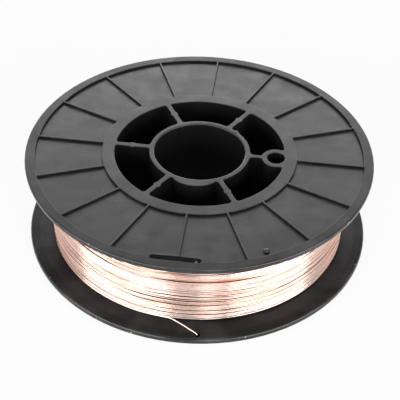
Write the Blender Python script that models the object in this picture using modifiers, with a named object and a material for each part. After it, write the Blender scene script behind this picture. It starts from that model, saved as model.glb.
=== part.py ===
"""Welding wire spool: a moulded plastic spool wound with round steel wire.

The spool lies flat on its lower flange, with its axis on +Z and its origin at
the middle of the face that it rests on. Sizes are in metres.
"""

from math import asin, atan2, cos, pi, radians, sin, sqrt

import bmesh
import bpy
from mathutils import Matrix, Vector

MM = 0.001

# Driving dimensions: the flange diameter of 200 mm follows from the barrel, the wire
# wound on it and the height of bare flange that stands above the wire
SPOOL_WIDTH = 55.0 * MM
BARREL_DIAMETER = 105.0 * MM
BARREL_WALL = 3.5 * MM
WINDING_CLEARANCE = 0.3 * MM
WINDING_DEPTH = 33.6 * MM
FLANGE_ABOVE_WINDING = 13.6 * MM
FLANGE_THICKNESS = 3.8 * MM
RIM_OUTER_ROUND = 0.9 * MM
RIM_INNER_ROUND = 1.8 * MM
BORE_DIAMETER = 52.0 * MM
BORE_TUBE_WALL = 3.1 * MM
BORE_EDGE_BREAK = 0.6 * MM

# Shallow panels in the outer face of each flange
PANEL_COUNT = 16
PANEL_DEPTH = 1.4 * MM
PANEL_RIB_THICKNESS = 1.2 * MM
RIM_BAND_WIDTH = 5.7 * MM
HUB_BAND_WIDTH = 3.8 * MM

# Hub: ribs between the bore tube and the barrel
HUB_RIB_COUNT = 6
HUB_RIB_THICKNESS = 3.0 * MM
FIRST_RIB_ANGLE = radians(-6.0)
POCKET_FILLET = 1.5 * MM
PIN_PAD_DIAMETER = 4.4 * MM

# Drive hole, which the welder's drive pin enters, in a round boss on the first rib
DRIVE_HOLE_DIAMETER = 10.2 * MM
DRIVE_HOLE_FROM_BARREL_WALL = 5.0 * MM
DRIVE_BOSS_WALL = 3.1 * MM
DRIVE_WEB_THICKNESS = 2.4 * MM
DRIVE_WEB_FILLET = 2.6 * MM

# Thickening of the bore tube, in the middle of one pocket
TUBE_PAD_POCKET = 4
TUBE_PAD_RISE = 2.9 * MM
TUBE_PAD_HALF_ANGLE = radians(26.0)

# Slot for the start of the wire, across the end of one rib of the upper flange
SLOT_RIB = -4
SLOT_LENGTH = 27.5 * MM
SLOT_WIDTH = 3.8 * MM
SLOT_FROM_RIM = 7.9 * MM
SLOT_PAST_RIB = 1.3 * MM
SLOT_BORDER = 1.3 * MM
SLOT_BORDER_HEIGHT = 1.0 * MM
SLOT_TOOTH_WIDTH = 1.8 * MM
SLOT_TOOTH_HEIGHT = 2.0 * MM

# Small raised pip in a panel of the upper flange
PIP_ANGLE = radians(-66.3)
PIP_FROM_RIM = 9.7 * MM
PIP_DIAMETER = 3.4 * MM
PIP_HEIGHT = 1.0 * MM

# Hole in the lower flange that holds the end of the wire
ANCHOR_HOLE_DIAMETER = 3.0 * MM
ANCHOR_HOLE_FROM_RIM = 3.7 * MM
ANCHOR_HOLE_ANGLE = radians(-89.0)

# Wire
WIRE_DIAMETER = 0.8 * MM
WINDING_EDGE_BREAK = 0.8 * MM
TAIL_LEAVES_AT = radians(-99.4)
TAIL_BEND_RADIUS = 2.0 * MM
TAIL_IN_HOLE = 1.0 * MM

# Fineness of round shapes
TURN_SEGMENTS = 96
HOLE_SEGMENTS = 24
PANEL_ARC_SEGMENTS = 6
POCKET_ARC_SEGMENTS = 12
FILLET_SEGMENTS = 4
ROUND_SEGMENTS = 3
CUT_MARGIN = 2.0 * MM

# Sizes that follow from the ones above
BARREL_RADIUS = BARREL_DIAMETER / 2
WINDING_INNER_RADIUS = BARREL_RADIUS + WINDING_CLEARANCE
WINDING_RADIUS = WINDING_INNER_RADIUS + WINDING_DEPTH
FLANGE_RADIUS = WINDING_RADIUS + FLANGE_ABOVE_WINDING
POCKET_OUTER_RADIUS = BARREL_RADIUS - BARREL_WALL
BORE_RADIUS = BORE_DIAMETER / 2
BORE_TUBE_RADIUS = BORE_RADIUS + BORE_TUBE_WALL
PIN_PAD_RADIUS = (BORE_TUBE_RADIUS + POCKET_OUTER_RADIUS) / 2
DRIVE_HOLE_RADIUS = POCKET_OUTER_RADIUS - DRIVE_HOLE_FROM_BARREL_WALL
DRIVE_BOSS_RADIUS = DRIVE_HOLE_DIAMETER / 2 + DRIVE_BOSS_WALL
SLOT_RADIUS = FLANGE_RADIUS - SLOT_FROM_RIM
PIP_RADIUS = FLANGE_RADIUS - PIP_FROM_RIM
ANCHOR_HOLE_RADIUS = FLANGE_RADIUS - ANCHOR_HOLE_FROM_RIM
PANEL_INNER_RADIUS = BARREL_RADIUS + HUB_BAND_WIDTH
PANEL_OUTER_RADIUS = FLANGE_RADIUS - RIM_BAND_WIDTH
PANEL_PITCH = 2 * pi / PANEL_COUNT
RIB_PITCH = 2 * pi / HUB_RIB_COUNT
UPPER_PANEL_FLOOR = SPOOL_WIDTH - PANEL_DEPTH
LOWER_FLANGE_TOP = FLANGE_THICKNESS
UPPER_FLANGE_BOTTOM = SPOOL_WIDTH - FLANGE_THICKNESS


def polar(radius, angle):
    """Point of the ground plane at a radius and an angle."""
    return Vector((radius * cos(angle), radius * sin(angle)))


def arc(centre, radius, start, end, segments):
    """Points along an arc, both ends included."""
    step = (end - start) / segments
    return [Vector(centre) + polar(radius, start + step * i) for i in range(segments + 1)]


def turned(points, angle):
    """The points of an outline, turned about the spool's axis."""
    turn = Matrix.Rotation(angle, 2)
    return [turn @ point for point in points]


def clear_scene():
    """Remove whatever the file starts with."""
    for obj in list(bpy.data.objects):
        bpy.data.objects.remove(obj, do_unlink=True)


def new_collection(name):
    """Collection of that name, linked to the scene."""
    collection = bpy.data.collections.new(name)
    bpy.context.scene.collection.children.link(collection)
    return collection


def new_material(name, colour, roughness, metallic):
    """Plain Principled material."""
    material = bpy.data.materials.new(name)
    material.use_nodes = True
    shader = material.node_tree.nodes["Principled BSDF"]
    shader.inputs["Base Color"].default_value = (*colour, 1.0)
    shader.inputs["Roughness"].default_value = roughness
    shader.inputs["Metallic"].default_value = metallic
    return material


def turned_solid(name, profile, collection):
    """Closed profile of (radius, height) points, turned a full circle by a Screw modifier.

    The profile runs down its outer side, so that the faces point outwards.
    """
    mesh = bpy.data.meshes.new(name)
    points = [(radius, 0.0, height) for radius, height in profile]
    edges = [(i, (i + 1) % len(points)) for i in range(len(points))]
    mesh.from_pydata(points, edges, [])
    obj = bpy.data.objects.new(name, mesh)
    collection.objects.link(obj)
    screw = obj.modifiers.new("turn", "SCREW")
    screw.steps = TURN_SEGMENTS
    screw.render_steps = TURN_SEGMENTS
    screw.use_merge_vertices = True
    screw.merge_threshold = 0.00001
    screw.use_normal_calculate = False
    return obj


def as_mesh(curve_object, collection):
    """Mesh object in place of a curve object, with its caps welded."""
    bpy.context.view_layer.update()
    depsgraph = bpy.context.evaluated_depsgraph_get()
    mesh = bpy.data.meshes.new_from_object(curve_object.evaluated_get(depsgraph))
    name = curve_object.name
    matrix = curve_object.matrix_world.copy()
    bpy.data.objects.remove(curve_object, do_unlink=True)
    welded = bmesh.new()
    welded.from_mesh(mesh)
    bmesh.ops.remove_doubles(welded, verts=welded.verts, dist=0.000002)
    bmesh.ops.recalc_face_normals(welded, faces=welded.faces)
    welded.to_mesh(mesh)
    welded.free()
    obj = bpy.data.objects.new(name, mesh)
    obj.matrix_world = matrix
    collection.objects.link(obj)
    return obj


def extruded(name, outlines, low, high, collection):
    """Flat outlines filled and extruded from one height to another, as one mesh object."""
    curve = bpy.data.curves.new(name, "CURVE")
    curve.dimensions = "2D"
    curve.fill_mode = "BOTH"
    curve.extrude = (high - low) / 2
    for outline in outlines:
        spline = curve.splines.new("POLY")
        spline.points.add(len(outline) - 1)
        for point, place in zip(spline.points, outline):
            point.co = (place.x, place.y, 0.0, 1.0)
        spline.use_cyclic_u = True
    obj = bpy.data.objects.new(name, curve)
    obj.location.z = (low + high) / 2
    collection.objects.link(obj)
    return as_mesh(obj, collection)


def upright_cylinder(name, centre, diameter, low, high, collection):
    """Cylinder that stands at a point of the ground plane."""
    mesh = bpy.data.meshes.new(name)
    shape = bmesh.new()
    bmesh.ops.create_cone(
        shape, cap_ends=True, segments=HOLE_SEGMENTS,
        radius1=diameter / 2, radius2=diameter / 2, depth=high - low,
        matrix=Matrix.Translation((centre.x, centre.y, (low + high) / 2)))
    shape.to_mesh(mesh)
    shape.free()
    obj = bpy.data.objects.new(name, mesh)
    collection.objects.link(obj)
    return obj


def combine(body, tool, operation):
    """Cut the body with a tool, or join the tool to it, by a Boolean modifier."""
    tool.hide_render = True
    tool.display_type = "WIRE"
    modifier = body.modifiers.new(tool.name, "BOOLEAN")
    modifier.operation = operation
    modifier.object = tool


def spool_profile():
    """Section of the spool with both flanges, the barrel and the bore, before its cuts.

    The lower half mirrors the upper one. Each rim has a small round on its outer
    face and a larger one towards the wire.
    """
    edge = BORE_EDGE_BREAK
    outer, inner = RIM_OUTER_ROUND, RIM_INNER_ROUND
    upper = [Vector((BORE_RADIUS, SPOOL_WIDTH - edge)), Vector((BORE_RADIUS + edge, SPOOL_WIDTH))]
    upper += arc((FLANGE_RADIUS - outer, SPOOL_WIDTH - outer), outer, pi / 2, 0, ROUND_SEGMENTS)
    upper += arc((FLANGE_RADIUS - inner, UPPER_FLANGE_BOTTOM + inner), inner, 0, -pi / 2, ROUND_SEGMENTS)
    upper.append(Vector((BARREL_RADIUS, UPPER_FLANGE_BOTTOM)))
    lower = [Vector((point.x, SPOOL_WIDTH - point.y)) for point in reversed(upper)]
    return upper + lower


def panel_outlines():
    """Outline of each shallow panel, between two ribs and the two raised bands."""
    half_rib = PANEL_RIB_THICKNESS / 2
    outlines = []
    for i in range(PANEL_COUNT):
        start = FIRST_RIB_ANGLE + PANEL_PITCH * i
        end = start + PANEL_PITCH
        inner = asin(half_rib / PANEL_INNER_RADIUS)
        outer = asin(half_rib / PANEL_OUTER_RADIUS)
        outlines.append(
            arc((0, 0), PANEL_OUTER_RADIUS, start + outer, end - outer, PANEL_ARC_SEGMENTS)
            + arc((0, 0), PANEL_INNER_RADIUS, end - inner, start + inner, PANEL_ARC_SEGMENTS))
    return outlines


def tube_fillet(half_thickness, radius):
    """Fillet from the bore tube to the flank of a rib along +X, from the tube outwards."""
    reach = BORE_TUBE_RADIUS + radius
    side = half_thickness + radius
    centre = Vector((sqrt(reach ** 2 - side ** 2), side))
    return arc(centre, radius, atan2(-centre.y, -centre.x), -pi / 2, FILLET_SEGMENTS)


def plain_rib_flank():
    """Left flank of a plain rib along +X: tube fillet, round pin pad, barrel fillet."""
    half = HUB_RIB_THICKNESS / 2
    pad_radius = PIN_PAD_DIAMETER / 2
    pad_edge = asin(half / pad_radius)
    reach = POCKET_OUTER_RADIUS - POCKET_FILLET
    side = half + POCKET_FILLET
    centre = Vector((sqrt(reach ** 2 - side ** 2), side))
    return (
        tube_fillet(half, POCKET_FILLET)
        + arc((PIN_PAD_RADIUS, 0), pad_radius, pi - pad_edge, pad_edge, FILLET_SEGMENTS)
        + arc(centre, POCKET_FILLET, -pi / 2, atan2(centre.y, centre.x), FILLET_SEGMENTS))


def drive_rib_flank():
    """Left flank of the drive rib along +X: a short web, then the boss round the drive hole."""
    half = DRIVE_WEB_THICKNESS / 2
    side = half + POCKET_FILLET
    beside = DRIVE_BOSS_RADIUS + POCKET_FILLET
    web_end = Vector((DRIVE_HOLE_RADIUS - sqrt(beside ** 2 - side ** 2), side))
    tube_end = tube_fillet(half, min(DRIVE_WEB_FILLET, web_end.x - BORE_TUBE_RADIUS - POCKET_FILLET))
    reach = POCKET_OUTER_RADIUS - POCKET_FILLET
    along = (DRIVE_HOLE_RADIUS ** 2 + reach ** 2 - beside ** 2) / (2 * DRIVE_HOLE_RADIUS)
    wall_end = Vector((along, sqrt(reach ** 2 - along ** 2)))
    boss = Vector((DRIVE_HOLE_RADIUS, 0))
    to_web = web_end - boss
    to_wall = wall_end - boss
    return (
        tube_end
        + arc(web_end, POCKET_FILLET, -pi / 2, atan2(-to_web.y, -to_web.x), FILLET_SEGMENTS)
        + arc(boss, DRIVE_BOSS_RADIUS, atan2(to_web.y, to_web.x), atan2(to_wall.y, to_wall.x),
              FILLET_SEGMENTS * 2)[1:]
        + arc(wall_end, POCKET_FILLET, atan2(-to_wall.y, -to_wall.x),
              atan2(wall_end.y, wall_end.x), FILLET_SEGMENTS)[1:])


def rib_flank(index, left):
    """Flank of one hub rib in its place, from the bore tube outwards."""
    flank = drive_rib_flank() if index % HUB_RIB_COUNT == 0 else plain_rib_flank()
    if not left:
        flank = [Vector((point.x, -point.y)) for point in flank]
    return turned(flank, FIRST_RIB_ANGLE + RIB_PITCH * index)


def tube_radius(pocket, angle):
    """Outer radius of the bore tube at an angle, with its thickening in one pocket."""
    if pocket != TUBE_PAD_POCKET:
        return BORE_TUBE_RADIUS
    middle = FIRST_RIB_ANGLE + RIB_PITCH * (pocket + 0.5)
    away = (angle - middle + pi) % (2 * pi) - pi
    if abs(away) >= TUBE_PAD_HALF_ANGLE:
        return BORE_TUBE_RADIUS
    peak = BORE_TUBE_RADIUS + TUBE_PAD_RISE
    foot = polar(BORE_TUBE_RADIUS, TUBE_PAD_HALF_ANGLE)
    offset = (peak ** 2 - foot.length ** 2) / (2 * (peak - foot.x))
    return offset * cos(away) + sqrt((peak - offset) ** 2 - (offset * sin(away)) ** 2)


def pocket_outline(pocket):
    """Outline of one hub pocket: rib flank, barrel wall, next rib's flank, bore tube."""
    first = rib_flank(pocket, left=True)
    second = rib_flank(pocket + 1, left=False)
    start = atan2(first[-1].y, first[-1].x)
    sweep = (atan2(second[-1].y, second[-1].x) - start) % (2 * pi)
    wall = arc((0, 0), POCKET_OUTER_RADIUS, start, start + sweep, POCKET_ARC_SEGMENTS)[1:-1]
    start = atan2(second[0].y, second[0].x)
    sweep = (start - atan2(first[0].y, first[0].x)) % (2 * pi)
    angles = [start - sweep * i / POCKET_ARC_SEGMENTS for i in range(1, POCKET_ARC_SEGMENTS)]
    tube = [polar(tube_radius(pocket, angle), angle) for angle in angles]
    return first + wall + second[::-1] + tube


def slot_outline(border, tooth):
    """Outline of the wire slot, which has round ends and lies across one rib.

    Its middle lies a little past the rib, clockwise. It is widened by a border all
    round. A tooth near one end grips the wire.
    """
    end_radius = SLOT_WIDTH / 2 + border
    outer = SLOT_RADIUS + end_radius
    reach = (SLOT_LENGTH - SLOT_WIDTH) / 2
    end = reach - SLOT_PAST_RIB
    start = -reach - SLOT_PAST_RIB
    points = arc((SLOT_RADIUS, end), end_radius, 0, pi, FILLET_SEGMENTS * 2)
    points += arc((SLOT_RADIUS, start), end_radius, pi, 2 * pi, FILLET_SEGMENTS * 2)
    if tooth:
        root = end - SLOT_TOOTH_WIDTH
        taper = SLOT_TOOTH_WIDTH / 5
        tip = outer - SLOT_TOOTH_HEIGHT
        points += [Vector((outer, root)), Vector((tip, root + taper)), Vector((tip, end - taper))]
    return turned(points, FIRST_RIB_ANGLE + PANEL_PITCH * SLOT_RIB)


def make_spool(parts, cutters, material):
    """The moulded spool, in one piece: two flanges, barrel, bore tube, ribs and drive boss."""
    spool = turned_solid("spool", spool_profile(), parts)
    spool.data.materials.append(material)
    below, above = -CUT_MARGIN, SPOOL_WIDTH + CUT_MARGIN
    slot_border = slot_outline(SLOT_BORDER, tooth=False)
    slot = slot_outline(0.0, tooth=True)
    inside_flange = SPOOL_WIDTH - (FLANGE_THICKNESS + PANEL_DEPTH) / 2

    combine(spool, extruded("upper_panels", panel_outlines(), UPPER_PANEL_FLOOR, above, cutters), "DIFFERENCE")
    combine(spool, extruded("lower_panels", panel_outlines(), below, PANEL_DEPTH, cutters), "DIFFERENCE")
    combine(spool, extruded("slot_border", [slot_border], inside_flange,
                            UPPER_PANEL_FLOOR + SLOT_BORDER_HEIGHT, cutters), "UNION")
    combine(spool, upright_cylinder("pip", polar(PIP_RADIUS, PIP_ANGLE), PIP_DIAMETER,
                                    inside_flange, UPPER_PANEL_FLOOR + PIP_HEIGHT, cutters), "UNION")
    pockets = [pocket_outline(i) for i in range(HUB_RIB_COUNT)]
    combine(spool, extruded("hub_pockets", pockets, below, above, cutters), "DIFFERENCE")
    combine(spool, upright_cylinder("drive_hole", polar(DRIVE_HOLE_RADIUS, FIRST_RIB_ANGLE),
                                    DRIVE_HOLE_DIAMETER, below, above, cutters), "DIFFERENCE")
    combine(spool, extruded("wire_slot", [slot], UPPER_FLANGE_BOTTOM - CUT_MARGIN, above, cutters), "DIFFERENCE")
    combine(spool, upright_cylinder("anchor_hole", polar(ANCHOR_HOLE_RADIUS, ANCHOR_HOLE_ANGLE),
                                    ANCHOR_HOLE_DIAMETER, below, LOWER_FLANGE_TOP + CUT_MARGIN, cutters),
            "DIFFERENCE")
    return spool


def winding_profile():
    """Section of the wound wire, which fills the space between the flanges."""
    inner = WINDING_INNER_RADIUS
    outer = WINDING_RADIUS
    low = LOWER_FLANGE_TOP + WINDING_CLEARANCE
    high = UPPER_FLANGE_BOTTOM - WINDING_CLEARANCE
    edge = WINDING_EDGE_BREAK
    return [(outer - edge, high), (outer, high - edge), (outer, low + edge), (outer - edge, low),
            (inner, low), (inner, high)]


def tail_route():
    """Middle line of the wire's end, from inside the winding to the anchor hole.

    It leaves the winding, lies over the lower flange's inner face and bends down
    into the hole.
    """
    lying = LOWER_FLANGE_TOP + WINDING_CLEARANCE + WIRE_DIAMETER / 2
    hole = polar(ANCHOR_HOLE_RADIUS, ANCHOR_HOLE_ANGLE)
    leaves = polar(WINDING_RADIUS, TAIL_LEAVES_AT)
    start = polar(WINDING_RADIUS - 2 * WIRE_DIAMETER, TAIL_LEAVES_AT - 3 * WIRE_DIAMETER / BARREL_RADIUS)
    run = (hole - leaves).normalized()
    bend_start = hole - run * TAIL_BEND_RADIUS
    bow = Vector((-run.y, run.x)) * WIRE_DIAMETER
    middle = (leaves + bend_start) / 2 + bow
    route = [start.to_3d(), leaves.to_3d(), ((leaves + middle) / 2 + bow * 0.35).to_3d(), middle.to_3d(),
             ((middle + bend_start) / 2 + bow * 0.3).to_3d(), bend_start.to_3d()]
    for i, point in enumerate(route):
        point.z = lying + WIRE_DIAMETER * max(0.0, 1.0 - i / 3)
    for i in range(1, FILLET_SEGMENTS + 1):
        turn = (pi / 2) * i / FILLET_SEGMENTS
        along = bend_start + run * TAIL_BEND_RADIUS * sin(turn)
        route.append(Vector((along.x, along.y, lying - TAIL_BEND_RADIUS * (1 - cos(turn)))))
    route.append(route[-1] - Vector((0, 0, TAIL_IN_HOLE)))
    return route


def make_wire_winding(parts, cutters, material):
    """The wound wire as one turned solid with its bore, joined to the wire's free end."""
    winding = turned_solid("wire_winding", winding_profile(), parts)
    winding.data.materials.append(material)
    curve = bpy.data.curves.new("wire_end", "CURVE")
    curve.dimensions = "3D"
    curve.bevel_depth = WIRE_DIAMETER / 2
    curve.bevel_resolution = 2
    curve.use_fill_caps = True
    route = tail_route()
    spline = curve.splines.new("POLY")
    spline.points.add(len(route) - 1)
    for point, place in zip(spline.points, route):
        point.co = (*place, 1.0)
    wire_end = bpy.data.objects.new("wire_end", curve)
    cutters.objects.link(wire_end)
    combine(winding, as_mesh(wire_end, cutters), "UNION")
    return winding


def main():
    """Build the spool and its wire."""
    clear_scene()
    parts = new_collection("welding_wire_spool")
    cutters = new_collection("cutters")
    plastic = new_material("black_moulded_plastic", (0.028, 0.028, 0.03), 0.45, 0.0)
    steel = new_material("copper_coated_steel_wire", (0.80, 0.43, 0.28), 0.28, 1.0)
    make_spool(parts, cutters, plastic)
    make_wire_winding(parts, cutters, steel)


main()
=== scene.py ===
"""A welding wire spool on plain white studio paper.

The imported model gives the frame: the moulded spool, and the solid that stands for its
wire. This script softens the moulding's edges and adds its small moulding marks, winds
the wire turn by turn, dresses both, and sets the floor, the lamps and the camera.
Lengths are in metres, and sizes are written in millimetres times MM.
"""

from __future__ import annotations

import logging
import math
from dataclasses import dataclass
from enum import Enum

import bmesh
import bpy
from mathutils import Matrix, Vector, noise

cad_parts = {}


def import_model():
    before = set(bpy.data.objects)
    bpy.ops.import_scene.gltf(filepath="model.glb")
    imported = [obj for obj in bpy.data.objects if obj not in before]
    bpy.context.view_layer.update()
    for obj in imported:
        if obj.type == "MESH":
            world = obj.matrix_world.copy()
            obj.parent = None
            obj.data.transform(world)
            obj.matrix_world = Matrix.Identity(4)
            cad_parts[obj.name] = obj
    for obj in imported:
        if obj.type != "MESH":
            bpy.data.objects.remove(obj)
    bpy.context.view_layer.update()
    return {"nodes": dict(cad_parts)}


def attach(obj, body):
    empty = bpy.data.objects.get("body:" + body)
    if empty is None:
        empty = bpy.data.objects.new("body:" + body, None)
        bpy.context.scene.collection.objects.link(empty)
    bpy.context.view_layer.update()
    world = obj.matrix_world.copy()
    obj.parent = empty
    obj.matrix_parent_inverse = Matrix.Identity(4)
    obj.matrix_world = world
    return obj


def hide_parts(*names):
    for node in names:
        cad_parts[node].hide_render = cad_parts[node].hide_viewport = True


MM = 0.001
MERGE_DISTANCE = 0.002 * MM
ROOT_BODY = "root"

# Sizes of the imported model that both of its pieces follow
SPOOL_WIDTH = 55.0 * MM
HOLE_RADIUS = 96.3 * MM
HOLE_DEGREES = -89.0

# Short names for the types that the node code handles
Tree = bpy.types.NodeTree
Socket = bpy.types.NodeSocket

log = logging.getLogger("wire_spool")


class Slot(Enum):
    """Material slots of the record."""

    PLASTIC = "spool_plastic"
    WIRE = "welding_wire"


# Small helpers

def linear(hex_code: str) -> tuple[float, float, float, float]:
    """Turn an sRGB hex colour to the linear colour that a shader takes.

    Args:
        hex_code: Colour such as "#2A2A2C".

    Returns:
        Linear red, green, blue and an alpha of 1.
    """
    channels = [int(hex_code[i:i + 2], 16) / 255 for i in (1, 3, 5)]
    red, green, blue = (c / 12.92 if c <= 0.04045 else ((c + 0.055) / 1.055) ** 2.4 for c in channels)
    return red, green, blue, 1.0


def pattern_scale(size: float) -> float:
    """Texture scale at which one feature of a pattern is about this long, in metres."""
    return 1.0 / size


def polar(radius: float, angle: float, height: float = 0.0) -> Vector:
    """Point at a radius and an angle about the spool's axis, and a height."""
    return Vector((radius * math.cos(angle), radius * math.sin(angle), height))


def smooth_step(value: float) -> float:
    """Rise from 0 to 1 with level ends while the value goes from 0 to 1."""
    clipped = min(1.0, max(0.0, value))
    return clipped * clipped * (3.0 - 2.0 * clipped)


def add_node(tree: Tree, kind: str, inputs: dict | None = None, **settings: object) -> bpy.types.Node:
    """Add one node, with its settings, its sockets' values and the links into it.

    Map Range has its range at sockets 1 and 2, and what that becomes at 3 and 4. Mix has
    its share at 0, two numbers at 2 and 3, and two colours at 6 and 7.

    Args:
        tree: Node tree that takes the node.
        kind: Node type, such as "ShaderNodeTexNoise".
        inputs: Socket name or number to a value, or to another node's output.
        settings: Properties of the node.

    Returns:
        The new node.
    """
    node = tree.nodes.new(kind)
    for name, value in settings.items():
        setattr(node, name, value)
    for name, value in (inputs or {}).items():
        if isinstance(value, Socket):
            tree.links.new(value, node.inputs[name])
        else:
            node.inputs[name].default_value = value
    return node


def radius_from_axis(tree: Tree, place: Socket) -> Socket:
    """Distance of a shaded point from the spool's axis."""
    level = add_node(tree, "ShaderNodeVectorMath", {0: place, 1: (1.0, 1.0, 0.0)},
                     operation="MULTIPLY").outputs[0]
    return add_node(tree, "ShaderNodeVectorMath", {0: level}, operation="LENGTH").outputs["Value"]


def new_material(name: str) -> tuple[bpy.types.Material, Tree, bpy.types.Node]:
    """Make an empty node material.

    Args:
        name: Name of the material.

    Returns:
        The material, its node tree and its output node.
    """
    material = bpy.data.materials.new(name)
    material.use_nodes = True
    tree = material.node_tree
    tree.nodes.clear()
    return material, tree, add_node(tree, "ShaderNodeOutputMaterial")


def place_piece(name: str, mesh: bpy.types.Mesh, material: bpy.types.Material) -> bpy.types.Object:
    """Show a finished mesh as a piece that rides on the part's one body.

    Args:
        name: Name of the piece.
        mesh: Finished mesh, in its place.
        material: Finish of the whole piece.

    Returns:
        The piece.
    """
    mesh.materials.clear()
    mesh.materials.append(material)
    piece = bpy.data.objects.new(name, mesh)
    bpy.context.scene.collection.objects.link(piece)
    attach(piece, ROOT_BODY)
    return piece


# Finishes

@dataclass(frozen=True)
class MouldedPlastic:
    """Black ABS, injection-moulded: a dark satin skin with a soft, cloudy sheen.

    The spark-eroded mould gives it a fine grain, the cooling gives it shallow
    waves, and handling gives it greyer patches and dust. Upright walls, which no hand
    rubs, stay duller, and so do the faces towards the wire, which look darker for it.
    The walls also carry a painted shade, a darker colour. The rims are rubbed shinier.

    A span says where a pattern sets in and where it is full. Off the rims the roughness
    stays over 0.28 and the wire's stays under 0.27, because a denoised render draws an
    outline wherever a surface crosses the level between them.
    """

    name: str = "black_moulded_abs"
    body_hex: str = "#1A1A1C"
    bloom_hex: str = "#303032"
    wall_shade_hex: str = "#161617"
    dust_hex: str = "#B9B8B4"
    gloss_roughness: float = 0.285
    dull_roughness: float = 0.46
    refraction: float = 1.54
    sheen: float = 0.46
    wireward_sheen: float = 0.15
    wall_sheen: float = 0.08
    wall_slope_span: tuple[float, float] = (0.6, 0.3)
    band_radius: float = 94.3 * MM
    band_sheen_share: float = 0.69
    inner_low: float = 3.0 * MM
    inner_high: float = 51.5 * MM
    inner_radius: float = 55.0 * MM
    rim_radius: float = 98.3 * MM
    rim_slope: float = 0.9
    rub_share: float = 0.5
    bloom_size: float = 26.0 * MM
    bloom_span: tuple[float, float] = (0.42, 0.68)
    smear_size: float = 11.0 * MM
    smear_span: tuple[float, float] = (0.35, 0.65)
    cloud_detail: float = 3.0
    grain_size: float = 0.6 * MM
    grain_depth: float = 0.005 * MM
    grain_detail: float = 2.0
    wave_size: float = 22.0 * MM
    wave_depth: float = 0.4 * MM
    wave_detail: float = 1.5
    pattern_roughness: float = 0.55
    dust_spacing: float = 4.5 * MM
    dust_radius: float = 0.22 * MM
    dust_core_share: float = 0.5
    dust_pick_level: float = 0.62
    dust_slope: float = 0.7
    nick_size: float = 1.6 * MM
    nick_span: tuple[float, float] = (0.72, 0.78)
    nick_detail: float = 1.0

    def make(self) -> bpy.types.Material:
        """Build the material.

        Returns:
            The material.
        """
        material, tree, output = new_material(self.name)
        place = add_node(tree, "ShaderNodeTexCoord").outputs["Object"]
        shader = add_node(tree, "ShaderNodeBsdfPrincipled", {
            "Base Color": self._colour(tree, place), "Roughness": self._roughness(tree, place),
            "IOR": self.refraction, "Specular IOR Level": self._sheen(tree, place),
            "Normal": self._relief(tree, place),
        })
        tree.links.new(shader.outputs[0], output.inputs["Surface"])
        return material

    def _colour(self, tree: Tree, place: Socket) -> Socket:
        """Colour: black with greyer clouds, painted shade on the walls, under the dust.

        Args:
            tree: The material's node tree.
            place: The shaded point.

        Returns:
            The colour.
        """
        clouds = add_node(tree, "ShaderNodeTexNoise", {
            "Vector": place, "Scale": pattern_scale(self.bloom_size),
            "Detail": self.cloud_detail, "Roughness": self.pattern_roughness,
        }).outputs["Fac"]
        bloom = add_node(tree, "ShaderNodeMapRange", {
            "Value": clouds, 1: self.bloom_span[0], 2: self.bloom_span[1],
        }, interpolation_type="SMOOTHSTEP").outputs[0]
        layers = (
            (bloom, self.bloom_hex),
            # painted shade: upright walls take a darker colour than the faces around them
            (self._upright(tree, place), self.wall_shade_hex),
            (self._dust(tree, place), self.dust_hex),
        )
        colour = linear(self.body_hex)
        for share, hex_code in layers:
            colour = add_node(tree, "ShaderNodeMix", {0: share, 6: colour, 7: linear(hex_code)},
                              data_type="RGBA").outputs[2]
        return colour

    def _roughness(self, tree: Tree, place: Socket) -> Socket:
        """Roughness: smeared between glossy and dull, and less on the rims.

        Args:
            tree: The material's node tree.
            place: The shaded point.

        Returns:
            The roughness.
        """
        smears = add_node(tree, "ShaderNodeTexNoise", {
            "Vector": place, "Scale": pattern_scale(self.smear_size),
            "Detail": self.cloud_detail, "Roughness": self.pattern_roughness,
        }).outputs["Fac"]
        roughness = add_node(tree, "ShaderNodeMapRange", {
            "Value": smears, 1: self.smear_span[0], 2: self.smear_span[1],
            3: self.gloss_roughness, 4: self.dull_roughness,
        }).outputs[0]
        rubbed = add_node(tree, "ShaderNodeMapRange", {
            "Value": self._on_rim(tree, place), 3: 1.0, 4: self.rub_share,
        }).outputs[0]
        return add_node(tree, "ShaderNodeMath", {0: roughness, 1: rubbed}, operation="MULTIPLY").outputs[0]

    def _sheen(self, tree: Tree, place: Socket) -> Socket:
        """Gloss level: lower on walls, on the faces towards the wire and on the rim bands.

        Args:
            tree: The material's node tree.
            place: The shaded point.

        Returns:
            The specular level.
        """
        height = add_node(tree, "ShaderNodeSeparateXYZ", {0: place}).outputs["Z"]
        radius = radius_from_axis(tree, place)
        tests = (
            (height, "GREATER_THAN", self.inner_low),
            (height, "LESS_THAN", self.inner_high),
            (radius, "GREATER_THAN", self.inner_radius),
        )
        wireward = 1.0
        for value, test, limit in tests:
            holds = add_node(tree, "ShaderNodeMath", {0: value, 1: limit}, operation=test).outputs[0]
            wireward = add_node(tree, "ShaderNodeMath", {0: wireward, 1: holds},
                                operation="MULTIPLY").outputs[0]
        sheen = add_node(tree, "ShaderNodeMapRange", {
            "Value": wireward, 3: self.sheen, 4: self.wireward_sheen,
        }).outputs[0]
        sheen = add_node(tree, "ShaderNodeMix", {
            0: self._upright(tree, place), 2: sheen, 3: self.wall_sheen,
        }, data_type="FLOAT").outputs[0]
        on_band = add_node(tree, "ShaderNodeMath", {0: radius, 1: self.band_radius},
                           operation="GREATER_THAN").outputs[0]
        on_band = add_node(tree, "ShaderNodeMath", {0: on_band, 1: self._on_rim(tree, place)},
                           operation="SUBTRACT").outputs[0]
        worn = add_node(tree, "ShaderNodeMapRange", {
            "Value": on_band, 3: 1.0, 4: self.band_sheen_share,
        }).outputs[0]
        return add_node(tree, "ShaderNodeMath", {0: sheen, 1: worn}, operation="MULTIPLY").outputs[0]

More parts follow.
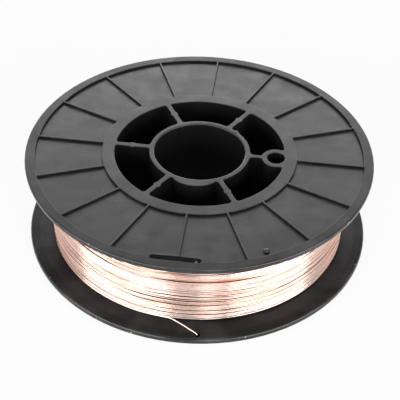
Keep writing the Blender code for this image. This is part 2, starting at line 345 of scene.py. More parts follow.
    @staticmethod
    def _upward(tree: Tree) -> Socket:
        """How far a surface faces up: 1 for a top, -1 for an underside."""
        normal = add_node(tree, "ShaderNodeNewGeometry").outputs["Normal"]
        return add_node(tree, "ShaderNodeSeparateXYZ", {0: normal}).outputs["Z"]

    def _upright(self, tree: Tree, place: Socket) -> Socket:
        """Find the upright walls, apart from the flanges' outer edges.

        Args:
            tree: The material's node tree.
            place: The shaded point.

        Returns:
            1 on upright walls, 0 on level faces and on the rims.
        """
        slope = add_node(tree, "ShaderNodeMath", {0: self._upward(tree)}, operation="ABSOLUTE").outputs[0]
        upright = add_node(tree, "ShaderNodeMapRange", {
            "Value": slope, 1: self.wall_slope_span[0], 2: self.wall_slope_span[1],
        }).outputs[0]
        return add_node(tree, "ShaderNodeMath", {0: upright, 1: self._on_rim(tree, place)},
                        operation="SUBTRACT", use_clamp=True).outputs[0]

    def _on_rim(self, tree: Tree, place: Socket) -> Socket:
        """Find the rounded outer edges of both flanges.

        Args:
            tree: The material's node tree.
            place: The shaded point.

        Returns:
            1 on the rims, 0 elsewhere.
        """
        outermost = add_node(tree, "ShaderNodeMath", {
            0: radius_from_axis(tree, place), 1: self.rim_radius,
        }, operation="GREATER_THAN").outputs[0]
        slope = add_node(tree, "ShaderNodeMath", {0: self._upward(tree)}, operation="ABSOLUTE").outputs[0]
        rounded = add_node(tree, "ShaderNodeMath", {0: slope, 1: self.rim_slope},
                           operation="LESS_THAN").outputs[0]
        return add_node(tree, "ShaderNodeMath", {0: outermost, 1: rounded}, operation="MULTIPLY").outputs[0]

    def _dust(self, tree: Tree, place: Socket) -> Socket:
        """Scatter the pale specks: dust on upward faces, and nicks along the rims.

        Args:
            tree: The material's node tree.
            place: The shaded point.

        Returns:
            Strength of the specks.
        """
        cells = add_node(tree, "ShaderNodeTexVoronoi", {
            "Vector": place, "Scale": pattern_scale(self.dust_spacing),
        })
        reach = self.dust_radius / self.dust_spacing
        spot = add_node(tree, "ShaderNodeMapRange", {
            "Value": cells.outputs["Distance"], 1: reach, 2: reach * self.dust_core_share,
        }).outputs[0]
        picked = add_node(tree, "ShaderNodeMath", {
            0: cells.outputs["Color"], 1: self.dust_pick_level,
        }, operation="GREATER_THAN").outputs[0]
        lying = add_node(tree, "ShaderNodeMath", {
            0: self._upward(tree), 1: self.dust_slope,
        }, operation="GREATER_THAN").outputs[0]
        speck = add_node(tree, "ShaderNodeMath", {0: spot, 1: picked}, operation="MULTIPLY").outputs[0]
        speck = add_node(tree, "ShaderNodeMath", {0: speck, 1: lying}, operation="MULTIPLY").outputs[0]
        chips = add_node(tree, "ShaderNodeTexNoise", {
            "Vector": place, "Scale": pattern_scale(self.nick_size),
            "Detail": self.nick_detail, "Roughness": self.pattern_roughness,
        }).outputs["Fac"]
        nick = add_node(tree, "ShaderNodeMapRange", {
            "Value": chips, 1: self.nick_span[0], 2: self.nick_span[1],
        }, interpolation_type="SMOOTHSTEP").outputs[0]
        nick = add_node(tree, "ShaderNodeMath", {0: nick, 1: self._on_rim(tree, place)},
                        operation="MULTIPLY").outputs[0]
        return add_node(tree, "ShaderNodeMath", {0: speck, 1: nick}, operation="MAXIMUM").outputs[0]

    def _relief(self, tree: Tree, place: Socket) -> Socket:
        """Surface relief: shallow cooling waves under a fine mould grain.

        Args:
            tree: The material's node tree.
            place: The shaded point.

        Returns:
            The bumped normal.
        """
        layers = (
            (self.wave_size, self.wave_detail, self.wave_depth),
            (self.grain_size, self.grain_detail, self.grain_depth),
        )
        relief = {}
        for size, detail, depth in layers:
            pattern = add_node(tree, "ShaderNodeTexNoise", {
                "Vector": place, "Scale": pattern_scale(size),
                "Detail": detail, "Roughness": self.pattern_roughness,
            }).outputs["Fac"]
            bump = add_node(tree, "ShaderNodeBump", {
                "Height": pattern, "Distance": depth, "Strength": 1.0, **relief,
            })
            relief = {"Normal": bump.outputs[0]}
        return relief["Normal"]


@dataclass(frozen=True)
class CopperCoatedWire:
    """Drawn steel wire with a thin, bright copper coat: pink metal with orange stretches.

    Drawing through dies leaves fine lines along the wire, and the coat's tone
    drifts a little from turn to turn. Some stretches of a turn carry a duller streak.
    At the spool's two sides the coat is painted a darker orange, a painted shade, and
    between the turns it is painted a deep orange brown, the painted shade of the grooves.
    """

    name: str = "copper_coated_drawn_wire"
    pink_hex: str = "#FBE7E0"
    orange_hex: str = "#F4D1BE"
    side_shade_hex: str = "#FFCFBC"
    deep_shade_hex: str = "#AD6038"
    streak_hex: str = "#AC7C64"
    side_shade_from: float = 60.0 * MM
    side_shade_full: float = 80.0 * MM
    side_shade_share: float = 0.75
    ridge_radius: float = 86.2 * MM
    groove_radius: float = 85.7 * MM
    bright_roughness: float = 0.19
    dull_roughness: float = 0.265
    tone_length: float = 45.0 * MM
    tone_height: float = 2.4 * MM
    tone_span: tuple[float, float] = (0.38, 0.66)
    tone_detail: float = 2.0
    streak_length: float = 60.0 * MM
    streak_height: float = 0.9 * MM
    streak_span: tuple[float, float] = (0.54, 0.68)
    streak_detail: float = 3.0
    streak_share: float = 0.7
    line_length: float = 30.0 * MM
    line_width: float = 0.16 * MM
    line_depth: float = 0.006 * MM
    line_span: tuple[float, float] = (0.3, 0.7)
    line_detail: float = 2.0
    pattern_roughness: float = 0.5

    def make(self) -> bpy.types.Material:
        """Build the material.

        Returns:
            The material.
        """
        material, tree, output = new_material(self.name)
        place = add_node(tree, "ShaderNodeTexCoord").outputs["Object"]
        # painted shade: how far the coat is tinted darker at the spool's two sides
        side_shade = self._side_shade(tree, place)
        lines = self._streaks(tree, place, self.line_length, self.line_width, self.line_detail)
        roughness = add_node(tree, "ShaderNodeMapRange", {
            "Value": lines, 1: self.line_span[0], 2: self.line_span[1],
            3: self.bright_roughness, 4: self.dull_roughness,
        }).outputs[0]
        relief = add_node(tree, "ShaderNodeBump", {
            "Height": lines, "Distance": self.line_depth, "Strength": 1.0,
        }).outputs[0]
        shader = add_node(tree, "ShaderNodeBsdfPrincipled", {
            "Base Color": self._colour(tree, place, side_shade), "Metallic": 1.0,
            "Roughness": roughness, "Normal": relief,
        })
        tree.links.new(shader.outputs[0], output.inputs["Surface"])
        return material

    def _side_shade(self, tree: Tree, place: Socket) -> Socket:
        """Find the spool's two sides, where painted shade tints the coat a darker orange.

        Args:
            tree: The material's node tree.
            place: The shaded point.

        Returns:
            Strength of the painted shade.
        """
        across = add_node(tree, "ShaderNodeSeparateXYZ", {0: place}).outputs["X"]
        sideways = add_node(tree, "ShaderNodeMath", {0: across}, operation="ABSOLUTE").outputs[0]
        return add_node(tree, "ShaderNodeMapRange", {
            "Value": sideways, 1: self.side_shade_from, 2: self.side_shade_full, 4: self.side_shade_share,
        }, interpolation_type="SMOOTHSTEP").outputs[0]

    def _colour(self, tree: Tree, place: Socket, side_shade: Socket) -> Socket:
        """Colour: pink to orange, streaked, with painted shade: orange at the sides, deep between the
        turns.

        Args:
            tree: The material's node tree.
            place: The shaded point.
            side_shade: Strength of the painted shade at the sides.

        Returns:
            The colour.
        """
        drift = self._streaks(tree, place, self.tone_length, self.tone_height, self.tone_detail)
        tone = add_node(tree, "ShaderNodeMapRange", {
            "Value": drift, 1: self.tone_span[0], 2: self.tone_span[1],
        }).outputs[0]
        dulled = self._streaks(tree, place, self.streak_length, self.streak_height, self.streak_detail)
        streak = add_node(tree, "ShaderNodeMapRange", {
            "Value": dulled, 1: self.streak_span[0], 2: self.streak_span[1], 4: self.streak_share,
        }, interpolation_type="SMOOTHSTEP").outputs[0]
        # painted shade: at the sides the streaks take the deep shade colour
        streak_tint = add_node(tree, "ShaderNodeMix", {
            0: side_shade, 6: linear(self.streak_hex), 7: linear(self.deep_shade_hex),
        }, data_type="RGBA").outputs[2]
        layers = (
            (tone, linear(self.orange_hex)),
            # painted shade: the coat is tinted a darker orange at the spool's two sides
            (side_shade, linear(self.side_shade_hex)),
            (streak, streak_tint),
        )
        colour = linear(self.pink_hex)
        for share, tint in layers:
            colour = add_node(tree, "ShaderNodeMix", {0: share, 6: colour, 7: tint},
                              data_type="RGBA").outputs[2]
        # painted shade: the grooves between the turns and the layers below take the deep colour
        proud = add_node(tree, "ShaderNodeMapRange", {
            "Value": radius_from_axis(tree, place), 1: self.groove_radius, 2: self.ridge_radius,
        }, interpolation_type="SMOOTHSTEP").outputs[0]
        return add_node(tree, "ShaderNodeMix", {0: proud, 6: linear(self.deep_shade_hex), 7: colour},
                        data_type="RGBA").outputs[2]

    def _streaks(self, tree: Tree, place: Socket, length: float, height: float, detail: float) -> Socket:
        """Noise drawn out along the turns, which lie level, and short from turn to turn.

        Args:
            tree: The material's node tree.
            place: The shaded point.
            length: Length of a streak.
            height: Height of a streak.
            detail: Finer steps in the noise.

        Returns:
            The noise, from 0 to 1.
        """
        stretched = add_node(tree, "ShaderNodeMapping", {
            "Vector": place,
            "Scale": (pattern_scale(length), pattern_scale(length), pattern_scale(height)),
        }).outputs[0]
        return add_node(tree, "ShaderNodeTexNoise", {
            "Vector": stretched, "Scale": 1.0, "Detail": detail, "Roughness": self.pattern_roughness,
        }).outputs["Fac"]


@dataclass(frozen=True)
class StudioPaper:
    """Matt white background paper, lit to a plain white ground that keeps a faint shadow.

    Seen directly, or mirrored in gloss and metal, it is mostly a steady white, and far
    off it is all white, like the wall behind it. Under the spool it is plain paper, as
    dark as its shadow makes it.
    """

    name: str = "white_background_paper"
    paper_hex: str = "#F2F2F2"
    white_share: float = 0.9
    shaded_radius: float = 99.6 * MM
    shade_edge: float = 1.0 * MM
    far_from: float = 0.6
    far_full: float = 2.0

    def make(self) -> bpy.types.Material:
        """Build the material.

        Returns:
            The material.
        """
        material, tree, output = new_material(self.name)
        paper = add_node(tree, "ShaderNodeBsdfDiffuse", {"Color": linear(self.paper_hex)}).outputs[0]
        white = add_node(tree, "ShaderNodeEmission", {"Strength": 1.0}).outputs[0]
        rays = add_node(tree, "ShaderNodeLightPath")
        seen = add_node(tree, "ShaderNodeMath", {
            0: rays.outputs["Is Camera Ray"], 1: rays.outputs["Is Glossy Ray"],
        }, operation="MAXIMUM").outputs[0]
        seen = add_node(tree, "ShaderNodeMath", {
            0: seen, 1: rays.outputs["Is Transmission Ray"],
        }, operation="MAXIMUM").outputs[0]
        place = add_node(tree, "ShaderNodeTexCoord").outputs["Object"]
        radius = add_node(tree, "ShaderNodeVectorMath", {0: place}, operation="LENGTH").outputs["Value"]
        near = add_node(tree, "ShaderNodeMapRange", {
            "Value": radius, 1: self.shaded_radius - self.shade_edge, 2: self.shaded_radius,
            4: self.white_share,
        }, interpolation_type="SMOOTHSTEP").outputs[0]
        far = add_node(tree, "ShaderNodeMapRange", {
            "Value": radius, 1: self.far_from, 2: self.far_full, 4: 1.0 - self.white_share,
        }, interpolation_type="SMOOTHSTEP").outputs[0]
        share = add_node(tree, "ShaderNodeMath", {0: near, 1: far}, operation="ADD").outputs[0]
        share = add_node(tree, "ShaderNodeMath", {0: seen, 1: share}, operation="MULTIPLY").outputs[0]
        mixed = add_node(tree, "ShaderNodeMixShader", {0: share, 1: paper, 2: white}).outputs[0]
        tree.links.new(mixed, output.inputs["Surface"])
        return material


# Sub-assemblies

@dataclass
class MouldedSpool:
    """The spool's moulding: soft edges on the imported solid, and its small moulding marks.

    A place is a radius and the degrees about the axis. A fine spot is a place, a height
    and a reach, within which the edges are rounded less. A lump's size is its half sizes
    outwards, round the axis and up, and it is sunk by a share of the last.
    """

    name: str = "moulded_spool"
    width: float = SPOOL_WIDTH
    panel_depth: float = 1.4 * MM
    flat_angle: float = math.radians(0.6)
    edge_angle: float = math.radians(35.0)
    edge_round: float = 0.42 * MM
    fine_round_share: float = 0.32
    round_segments: int = 3
    fine_spots: tuple[tuple[float, float, float, float], ...] = (
        (92.1 * MM, -96.8, SPOOL_WIDTH, 17.5 * MM), (HOLE_RADIUS, HOLE_DEGREES, 0.0, 3.0 * MM))
    fine_depth: float = 5.0 * MM
    gate_place: tuple[float, float] = (28.6 * MM, 42.0)
    gate_size: tuple[float, float, float] = (1.3 * MM, 1.9 * MM, 0.55 * MM)
    gate_sunk: float = 0.7
    nub_places: tuple[tuple[float, float], ...] = ((66.0 * MM, -51.0), (75.0 * MM, -163.5))
    nub_size: tuple[float, float, float] = (1.1 * MM, 0.8 * MM, 0.35 * MM)
    nub_sunk: float = 0.45
    pip_place: tuple[float, float] = (90.3 * MM, -66.3)
    pip_height: float = 1.0 * MM
    pip_size: tuple[float, float, float] = (1.45 * MM, 1.45 * MM, 0.5 * MM)
    pip_sunk: float = 0.2
    lump_segments: int = 16
    lump_rings: int = 8
    ejector_places: tuple[tuple[float, float], ...] = (
        (84.0 * MM, -135.5), (76.0 * MM, -110.5), (76.0 * MM, 69.5), (84.0 * MM, 12.0), (80.0 * MM, 147.0))
    ejector_radius: float = 2.4 * MM
    ejector_taper: float = 0.92
    ejector_rise: float = 0.06 * MM
    ejector_segments: int = 24

    def build(self, node: bpy.types.Object, material: bpy.types.Material) -> bpy.types.Object:
        """Make the dressed moulding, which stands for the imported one.

        Args:
            node: Packed spool.
            material: Finish of the moulding.

        Returns:
            The piece.
        """
        shape = bmesh.new()
        shape.from_mesh(node.data)
        bmesh.ops.remove_doubles(shape, verts=shape.verts, dist=MERGE_DISTANCE)
        bmesh.ops.dissolve_limit(shape, angle_limit=self.flat_angle, verts=shape.verts, edges=shape.edges)
        self._mark_edges(shape)
        self._add_marks(shape)
        for face in shape.faces:
            face.smooth = True
        mesh = bpy.data.meshes.new(self.name)
        shape.to_mesh(mesh)
        shape.free()
        piece = place_piece(self.name, mesh, material)
        bevel = piece.modifiers.new("soft_edges", "BEVEL")
        bevel.affect = "EDGES"
        bevel.limit_method = "WEIGHT"
        bevel.width = self.edge_round
        bevel.segments = self.round_segments
        bevel.profile = 0.5
        bevel.use_clamp_overlap = False
        bevel.material = -1
        normals = piece.modifiers.new("even_shading", "WEIGHTED_NORMAL")
        normals.keep_sharp = True
        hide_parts(node.name)
        return piece

    def _mark_edges(self, shape: bmesh.types.BMesh) -> None:
        """Round each outward edge, less at the slot and the anchor hole.

        Inner corners stay sharp.

        Args:
            shape: The moulding's faces.
        """
        weight = shape.edges.layers.float.new("bevel_weight_edge")
        for edge in shape.edges:
            if not edge.is_manifold or edge.calc_face_angle() < self.edge_angle:
                continue
            if not edge.is_convex:
                edge.smooth = False
                continue
            middle = (edge.verts[0].co + edge.verts[1].co) / 2
            share = 1.0
            for radius, degrees, height, reach in self.fine_spots:
                away = middle - polar(radius, math.radians(degrees), height)
                if away.xy.length < reach and abs(away.z) < self.fine_depth:
                    share = self.fine_round_share
            edge[weight] = share

    def _add_marks(self, shape: bmesh.types.BMesh) -> None:
        """Add the gate's stub, nubs on two ribs, the pip's domed top and faint ejector marks.

        Args:
            shape: The moulding's faces.
        """
        panel = self.width - self.panel_depth
        self._add_lump(shape, self.gate_place, self.width, self.gate_size, self.gate_sunk)
        for place in self.nub_places:
            self._add_lump(shape, place, self.width, self.nub_size, self.nub_sunk)
        self._add_lump(shape, self.pip_place, panel + self.pip_height, self.pip_size, self.pip_sunk)
        for radius, degrees in self.ejector_places:
            bmesh.ops.create_cone(
                shape, cap_ends=True, segments=self.ejector_segments, radius1=self.ejector_radius,
                radius2=self.ejector_radius * self.ejector_taper, depth=self.ejector_rise * 2,
                matrix=Matrix.Translation(polar(radius, math.radians(degrees), panel)))

    def _add_lump(self, shape: bmesh.types.BMesh, place: tuple[float, float], face_height: float,
                  size: tuple[float, float, float], sunk: float) -> None:
        """Add a rounded lump, partly sunk in the level face that carries it.

        Args:
            shape: The moulding's faces.
            place: The lump's radius and degrees.
            face_height: Height of the face.
            size: The lump's half sizes.
            sunk: How far its middle lies under the face, as a share of its half height.
        """
        radius, degrees = place
        angle = math.radians(degrees)
        middle = Matrix.Translation(polar(radius, angle, face_height - size[2] * sunk))
        turn = Matrix.Rotation(angle, 4, "Z")
        bmesh.ops.create_uvsphere(
            shape, u_segments=self.lump_segments, v_segments=self.lump_rings, radius=1.0,
            matrix=middle @ turn @ Matrix.Diagonal((*size, 1.0)))


@dataclass
class WireWinding:
    """The wound wire: an outer layer of real turns with its free end, over the layers below.

    The outer layer is one helix. It ends at the lower flange, where the wire leaves
    it, lies over the flange's inner face and bends down into the anchor hole. Where
    the wire was laid unevenly, gaps show the layer below. They open over some
    stretches of a turn, and between these the turns spread out evenly.

    Gap heights and widths are in millimetres, and each open stretch is its middle and
    its half length in degrees about the axis. A tilt is the direction of a profile point
    from the middle of its turn, in degrees from outwards to up.
    """

    wire_diameter: float = 0.8 * MM
    winding_radius: float = 86.4 * MM
    barrel_radius: float = 52.8 * MM
    flange_thickness: float = 3.8 * MM
    spool_width: float = SPOOL_WIDTH
    clearance: float = 0.3 * MM
    steps_per_turn: int = 180
    side_resolution: int = 2
    gap_heights: tuple[float, ...] = (5.9, 8.4, 11.0, 15.2, 17.8, 19.6, 22.0, 25.4, 32.4, 37.6, 41.8, 46.0)
    gap_widths: tuple[float, ...] = (0.4, 0.45, 0.5, 0.6, 0.7, 0.55, 0.7, 0.3, 0.95, 0.5, 0.5, 0.4)
    gap_opening: float = 0.12
    open_stretches: tuple[tuple[float, float], ...] = (
        (-91.0, 11.0), (-143.0, 9.0), (-30.0, 17.0), (35.0, 20.0), (88.0, 14.0), (150.0, 22.0))
    stretch_end: float = 14.0
    least_open: float = 0.12
    stretch_skew: float = 7.0
    skew_pace: float = 2.3
    radial_wander: float = 0.12 * MM
    wander_turns: float = 0.31
    dip_turns: float = 0.06
    layer_sink: float = 1.05 * MM
    ring_steps: int = 96
    outer_tilts: tuple[float, ...] = (-66.0, -22.0, 22.0, 66.0)
    upper_tilts: tuple[float, ...] = (60.0, 90.0, 120.0)
    lower_tilts: tuple[float, ...] = (240.0, 270.0, 300.0)
    leaves_at: float = math.radians(-99.4)
    hole_radius: float = HOLE_RADIUS
    hole_angle: float = math.radians(HOLE_DEGREES)
    bend_radius: float = 2.0 * MM
    end_in_hole: float = 1.0 * MM
    tail_steps: int = 14
    bend_steps: int = 6
    leaving_pull: float = 7.0 * MM

    @property
    def centre_radius(self) -> float:
        """Radius of the outer layer's middle line."""
        return self.winding_radius - self.wire_diameter / 2

    @property
    def lying_height(self) -> float:
        """Height of the middle line where the wire lies over the lower flange."""
        return self.flange_thickness + self.clearance + self.wire_diameter / 2

    @property
    def top_height(self) -> float:
        """Height of the middle line under the upper flange."""
        return self.spool_width - self.lying_height

    def build(self, node: bpy.types.Object, material: bpy.types.Material) -> list[bpy.types.Object]:
        """Make the wire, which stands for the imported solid.

        Args:
            node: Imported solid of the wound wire.
            material: Finish of the wire.

        Returns:
            The outer layer with its free end, and the layers below it.
        """
        outer = place_piece("outer_wire_turns", self._wire_mesh("outer_wire_turns", self._outer_route()),
                            material)
        inner = place_piece("inner_wire_layers", self._inner_layers(), material)
        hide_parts(node.name)
        return [outer, inner]

    def _gap_turns(self) -> list[tuple[float, float]]:
        """Work out where the gaps lie.

        Returns:
            Each gap's place along the outer layer, in turns from its end, and its width.
        """
        gaps = []
        opened = 0.0
        for height, width in zip(self.gap_heights, self.gap_widths):
            turn = (height * MM - self.lying_height - opened) / self.wire_diameter
            gaps.append((turn, width * MM))
            opened += width * MM
        return gaps

    def _outer_route(self) -> list[Vector]:
        """Lead the outer layer from the upper flange down to the anchor hole.

        Returns:
            Points of its middle line.
        """
        gaps = self._gap_turns()
        slack = sum(width for _, width in gaps)
        turns = (self.top_height - self.lying_height - slack) / self.wire_diameter
        steps = round(turns * self.steps_per_turn)
        route = []
        for step in range(steps, 0, -1):
            turn = turns * step / steps
            angle = self.leaves_at - 2 * math.pi * turn
            opened = sum(self._opened_below(turn, turns, angle, at, width) for at, width in gaps)
            height = self.lying_height + self.wire_diameter * turn + opened
            wander = noise.noise(Vector((turn / self.wander_turns, 0.5, 0.5))) * self.radial_wander
            dip = self.wire_diameter * (1.0 - smooth_step((turns - turn) / self.dip_turns))
            route.append(polar(self.centre_radius - self.radial_wander + wander - dip, angle, height))
        return route + self._tail_route()

    def _opened_below(self, turn: float, turns: float, angle: float, at: float, width: float) -> float:
        """How far one gap lifts the wire at a point of the outer layer.

        Args:
            turn: The point's place along the layer, in turns.
            turns: Turns in the layer.
            angle: The point's angle about the axis.
            at: The gap's place, in turns.
            width: The gap's full width.

        Returns:
            The lift: all of it past the gap where the gap is open, and spread over all
            turns where it is not.
        """
        degrees = math.degrees(angle) + self.stretch_skew * math.sin(at * self.skew_pace)
        share = self.least_open
        for middle, reach in self.open_stretches:
            away = abs((degrees - middle + 180.0) % 360.0 - 180.0)
            share = max(share, smooth_step((reach + self.stretch_end - away) / self.stretch_end))
        gathered = smooth_step((turn - at) / self.gap_opening)
        return width * (share * gathered + (1.0 - share) * turn / turns)

    def _tail_route(self) -> list[Vector]:
        """Lead the free end off the winding, over the flange and down into the hole.

        The stretch over the flange is a cubic curve with a pull at each end, and the bend
        into the hole is a quarter circle.

        Returns:
            Points of its middle line.
        """
        leaves = polar(self.centre_radius, self.leaves_at, self.lying_height)
        hole = polar(self.hole_radius, self.hole_angle, self.lying_height)
        along = (hole - leaves).normalized()
        bend_start = hole - along * self.bend_radius
        pull_out = polar(self.leaving_pull, self.leaves_at + math.pi / 2)
        pull_in = along * self.leaving_pull
        route = []
        for step in range(self.tail_steps):
            share = step / self.tail_steps
            start_weight = (1 + 2 * share) * (1 - share) ** 2
            start_pull = share * (1 - share) ** 2
            end_weight = share ** 2 * (3 - 2 * share)
            end_pull = share ** 2 * (share - 1)
            route.append(leaves * start_weight + pull_out * start_pull
                         + bend_start * end_weight + pull_in * end_pull)
        for step in range(self.bend_steps + 1):
            turn = (math.pi / 2) * step / self.bend_steps
            down = Vector((0.0, 0.0, self.bend_radius * (1 - math.cos(turn))))
            route.append(bend_start + along * self.bend_radius * math.sin(turn) - down)
        route.append(route[-1] - Vector((0.0, 0.0, self.end_in_hole)))
        return route

    def _wire_mesh(self, name: str, route: list[Vector]) -> bpy.types.Mesh:
        """Round wire along a route, as one closed mesh.

        Args:
            name: Name of the mesh.
            route: Points of the wire's middle line.

        Returns:
            The mesh, smooth shaded, with its ends closed.
        """
        curve = bpy.data.curves.new(name, "CURVE")
        curve.dimensions = "3D"
        curve.bevel_depth = self.wire_diameter / 2
        curve.bevel_resolution = self.side_resolution
        curve.use_fill_caps = True
        spline = curve.splines.new("POLY")
        spline.points.add(len(route) - 1)
        for point, place in zip(spline.points, route):
            point.co = (*place, 1.0)
        guide = bpy.data.objects.new(name, curve)
        bpy.context.scene.collection.objects.link(guide)
        bpy.context.view_layer.update()
        mesh = bpy.data.meshes.new_from_object(guide.evaluated_get(bpy.context.evaluated_depsgraph_get()))
        bpy.data.objects.remove(guide, do_unlink=True)
        shape = bmesh.new()
        shape.from_mesh(mesh)
        bmesh.ops.remove_doubles(shape, verts=shape.verts, dist=MERGE_DISTANCE)
        bmesh.ops.recalc_face_normals(shape, faces=shape.faces)
        for face in shape.faces:
            face.smooth = len(face.verts) == 4
        shape.to_mesh(mesh)
        shape.free()
        return mesh

    def _inner_layers(self) -> bpy.types.Mesh:
        """Make the layers below the outer one: a turned ring that shows their turns.

        Returns:
            The mesh. Its outer face shows one layer, and its ends show the edge of each.
        """
        radius = self.wire_diameter / 2
        low = self.lying_height - radius
        high = self.top_height + radius
        outermost = self.centre_radius - self.layer_sink
        layer_pitch = self.wire_diameter * math.sqrt(3) / 2
        turns = int((high - low) / self.wire_diameter)
        layers = int((outermost - self.barrel_radius) / layer_pitch)
        centres = [outermost - layer_pitch * (layer + 1) for layer in range(layers)]
        profile = []
        for turn in range(turns):
            height = low + (high - low) * (turn + 0.5) / turns
            profile += self._section(outermost, height, self.outer_tilts)
        for centre in centres:
            profile += self._section(centre, high - radius, self.upper_tilts)
        for centre in reversed(centres):
            profile += self._section(centre, low + radius, self.lower_tilts)
        shape = bmesh.new()
        points = [shape.verts.new(place) for place in profile]
        outline = [shape.edges.new((a, b)) for a, b in zip(points, points[1:] + points[:1])]
        bmesh.ops.spin(
            shape, geom=points + outline, cent=(0, 0, 0), axis=(0, 0, 1), dvec=(0, 0, 0),
            angle=2 * math.pi, steps=self.ring_steps, use_merge=True)
        bmesh.ops.remove_doubles(shape, verts=shape.verts, dist=MERGE_DISTANCE)
        bmesh.ops.recalc_face_normals(shape, faces=shape.faces)
        for face in shape.faces:
            face.smooth = True
        mesh = bpy.data.meshes.new("inner_wire_layers")
        shape.to_mesh(mesh)
        shape.free()
        return mesh

    def _section(self, centre: float, height: float, tilts: tuple[float, ...]) -> list[Vector]:
        """Find points round one turn's cut end, for the ring's profile.

        Args:
            centre: Radius of the turn's middle line.
            height: Height of the turn's middle line.
            tilts: Degrees of each point about the middle line.

        Returns:
            The points, at an angle of 0 about the spool's axis.
        """
        radius = self.wire_diameter / 2
        angles = [math.radians(tilt) for tilt in tilts]
        return [Vector((centre + radius * math.cos(angle), 0.0, height + radius * math.sin(angle)))
                for angle in angles]


# Studio

@dataclass(frozen=True)
class Softbox:
    """A plain square or oblong studio lamp, aimed at the spool."""

    name: str
    azimuth: float
    elevation: float
    width: float
    height: float
    watts: float
    distance: float = 1.5

    def make(self, aim: Vector) -> bpy.types.Object:
        """Set up the lamp.

        Args:
            aim: Point that the lamp faces.

        Returns:
            The lamp.
        """
        lamp = bpy.data.lights.new(self.name, "AREA")
        lamp.shape = "RECTANGLE"
        lamp.size = self.width
        lamp.size_y = self.height
        lamp.energy = self.watts
        level = self.distance * math.cos(math.radians(self.elevation))
        rise = self.distance * math.sin(math.radians(self.elevation))
        place = aim + polar(level, math.radians(self.azimuth), rise)
        obj = bpy.data.objects.new(self.name, lamp)
        obj.location = place
        obj.rotation_euler = (aim - place).to_track_quat("-Z", "Y").to_euler()
        bpy.context.scene.collection.objects.link(obj)
        return obj


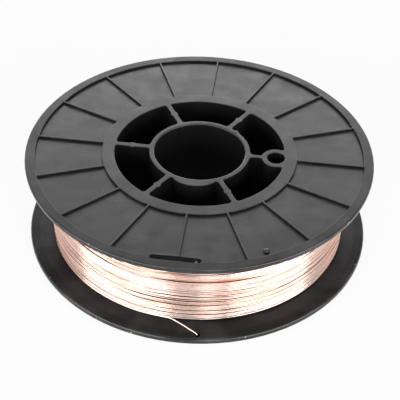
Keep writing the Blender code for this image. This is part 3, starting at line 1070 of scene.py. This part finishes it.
@dataclass
class Studio:
    """White paper, softboxes at the sides, behind and overhead, and the camera.

    Gloss and metal see the world as a bright back wall. It fades out between two angles
    above the horizon and between two angles away from straight back.
    """

    floor_size: float = 12.0
    aim_height: float = 27.5 * MM
    world_glow: float = 0.12
    dark_room: float = 0.8
    wall_top: float = math.radians(30.0)
    wall_fades: float = math.radians(44.0)
    wall_side: float = math.radians(42.0)
    side_fades: float = math.radians(62.0)
    camera_back: float = 523.46 * MM
    camera_up: float = 455.88 * MM
    camera_pitch: float = math.radians(39.910)
    camera_yaw: float = math.radians(0.116)
    camera_roll: float = math.radians(-1.815)
    sensor_width: float = 36.0
    focal_length: float = 103.04
    clip_start: float = 10.0 * MM

    def build(self) -> None:
        """Set up the floor, the world, the lamps and the camera."""
        self._floor()
        self._world()
        aim = Vector((0.0, 0.0, self.aim_height))
        for lamp in self._lamps():
            lamp.make(aim)
        self._camera()
        bpy.context.scene.view_settings.view_transform = "Standard"

    @staticmethod
    def _lamps() -> tuple[Softbox, ...]:
        """List the softboxes.

        Returns:
            The softboxes. An azimuth of 270 degrees is the camera's side.
        """
        return (
            Softbox("left_softbox", azimuth=221.0, elevation=14.0, width=1.8, height=0.8, watts=23.1),
            Softbox("strip_softbox", azimuth=279.5, elevation=14.0, width=0.3, height=0.8, watts=3.0),
            Softbox("right_softbox", azimuth=321.0, elevation=14.0, width=1.53, height=0.8, watts=19.6),
            Softbox("back_softbox", azimuth=91.0, elevation=18.5, width=1.6, height=0.88, watts=12.8),
            Softbox("top_softbox", azimuth=270.0, elevation=76.0, width=0.8, height=0.4, watts=5.0),
        )

    def _floor(self) -> None:
        """Lay the paper under the spool."""
        shape = bmesh.new()
        bmesh.ops.create_grid(shape, x_segments=1, y_segments=1, size=self.floor_size / 2)
        mesh = bpy.data.meshes.new("paper_sweep")
        shape.to_mesh(mesh)
        shape.free()
        mesh.materials.append(StudioPaper().make())
        floor = bpy.data.objects.new("paper_sweep", mesh)
        bpy.context.scene.collection.objects.link(floor)

    def _world(self) -> None:
        """Light the room faintly, as a plain white ground for the camera."""
        world = bpy.data.worlds.new("white_room")
        bpy.context.scene.world = world
        world.use_nodes = True
        tree = world.node_tree
        tree.nodes.clear()
        rays = add_node(tree, "ShaderNodeLightPath")
        mirrored = add_node(tree, "ShaderNodeMath", {
            0: rays.outputs["Is Glossy Ray"], 1: rays.outputs["Is Transmission Ray"],
        }, operation="MAXIMUM").outputs[0]
        direction = add_node(tree, "ShaderNodeTexCoord").outputs["Generated"]
        rise = add_node(tree, "ShaderNodeSeparateXYZ", {0: direction}).outputs["Z"]
        low = add_node(tree, "ShaderNodeMapRange", {
            "Value": rise, 1: math.sin(self.wall_top), 2: math.sin(self.wall_fades), 3: 1.0, 4: 0.0,
        }, interpolation_type="SMOOTHSTEP").outputs[0]
        level = add_node(tree, "ShaderNodeVectorMath", {0: direction, 1: (1.0, 1.0, 0.0)},
                         operation="MULTIPLY").outputs[0]
        level = add_node(tree, "ShaderNodeVectorMath", {0: level}, operation="NORMALIZE").outputs[0]
        backward = add_node(tree, "ShaderNodeSeparateXYZ", {0: level}).outputs["Y"]
        behind = add_node(tree, "ShaderNodeMapRange", {
            "Value": backward, 1: math.cos(self.side_fades), 2: math.cos(self.wall_side),
        }, interpolation_type="SMOOTHSTEP").outputs[0]
        wall = add_node(tree, "ShaderNodeMath", {0: low, 1: behind}, operation="MULTIPLY").outputs[0]
        room = add_node(tree, "ShaderNodeMapRange", {"Value": wall, 3: self.dark_room, 4: 1.0}).outputs[0]
        strength = add_node(tree, "ShaderNodeMix", {
            0: mirrored, 2: self.world_glow, 3: room,
        }, data_type="FLOAT").outputs[0]
        strength = add_node(tree, "ShaderNodeMix", {
            0: rays.outputs["Is Camera Ray"], 2: strength, 3: 1.0,
        }, data_type="FLOAT").outputs[0]
        background = add_node(tree, "ShaderNodeBackground", {"Color": (1, 1, 1, 1), "Strength": strength})
        output = add_node(tree, "ShaderNodeOutputWorld")
        tree.links.new(background.outputs[0], output.inputs["Surface"])

    def _camera(self) -> None:
        """Place the camera where the photograph was taken from."""
        forward = Vector((
            math.sin(self.camera_yaw) * math.cos(self.camera_pitch),
            math.cos(self.camera_yaw) * math.cos(self.camera_pitch),
            -math.sin(self.camera_pitch)))
        level_right = Vector((math.cos(self.camera_yaw), -math.sin(self.camera_yaw), 0.0))
        level_down = forward.cross(level_right)
        right = level_right * math.cos(self.camera_roll) + level_down * math.sin(self.camera_roll)
        down = level_down * math.cos(self.camera_roll) - level_right * math.sin(self.camera_roll)
        data = bpy.data.cameras.new("product_camera")
        data.sensor_width = self.sensor_width
        data.lens = self.focal_length
        data.clip_start = self.clip_start
        camera = bpy.data.objects.new("product_camera", data)
        turn = Matrix((right, -down, -forward)).transposed().to_4x4()
        camera.matrix_world = Matrix.Translation((0.0, -self.camera_back, self.camera_up)) @ turn
        bpy.context.scene.collection.objects.link(camera)
        bpy.context.scene.camera = camera


def clear_start_objects() -> None:
    """Remove the cube, lamp and camera that a new Blender file starts with."""
    for name in ("Cube", "Light", "Camera"):
        if name in bpy.data.objects:
            bpy.data.objects.remove(bpy.data.objects[name], do_unlink=True)


def main() -> None:
    """Build the studio and the spool in order, and report each piece."""
    logging.basicConfig(level=logging.INFO, format="%(message)s")
    clear_start_objects()
    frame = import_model()
    Studio().build()
    log.info("studio set")
    plastic = MouldedPlastic().make()
    copper = CopperCoatedWire().make()
    spool = MouldedSpool().build(frame["nodes"]["spool"], plastic)
    log.info("%s: %d faces before rounding", spool.name, len(spool.data.polygons))
    for piece in WireWinding().build(frame["nodes"]["wire_winding"], copper):
        log.info("%s: %d faces", piece.name, len(piece.data.polygons))


if __name__ == "__main__":
    main()
